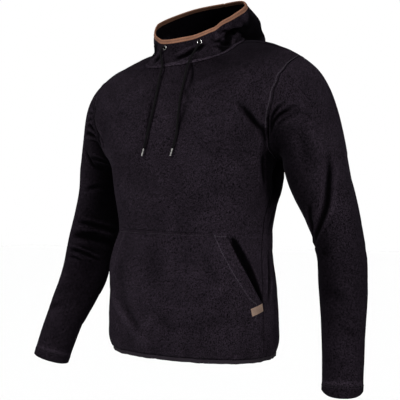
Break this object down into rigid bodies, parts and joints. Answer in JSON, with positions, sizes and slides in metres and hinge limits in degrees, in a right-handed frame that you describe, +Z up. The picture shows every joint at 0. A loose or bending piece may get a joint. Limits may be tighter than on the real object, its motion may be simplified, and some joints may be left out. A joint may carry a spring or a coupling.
{
  "type": "hooded fleece pullover jacket",
  "caption": "Hollow worn fleece pullover jacket with a hood lying back, free drawcords, a pouch pocket, set-in sleeves and an elastic bound hem.",
  "frame": {"origin": "in the middle of the neck base, level with the top of the shoulders that carry the jacket", "axes": "+Z up the wearer's body, the wearer faces -Y, +X towards the wearer's left hand"},
  "size_m": [0.8008, 0.3441, 0.8445],
  "materials": {
    "fleece": "brushed near-black fleece with a short soft nap",
    "face_tape": "tan woven binding tape with a fine rib",
    "hem_tape": "black elastic binding tape with a fine rib",
    "cord": "black braided round cord",
    "nickel": "satin nickel plate",
    "label": "plain brown woven label",
    "thread": "black sewing thread, a little lighter than the fleece"
  },
  "bodies": {
    "root": {"back_panel": "fleece", "cord_left": "cord", "cord_right": "cord", "cord_tip_left": "nickel", "cord_tip_right": "nickel", "eyelet_left": "nickel", "eyelet_right": "nickel", "front_panel": "fleece", "hem_binding": "hem_tape", "hood": "fleece", "hood_binding": "face_tape", "label": "label", "neck_band": "fleece", "pocket": "fleece", "sleeve_left": "fleece", "sleeve_right": "fleece"}
  },
  "joints": []
}
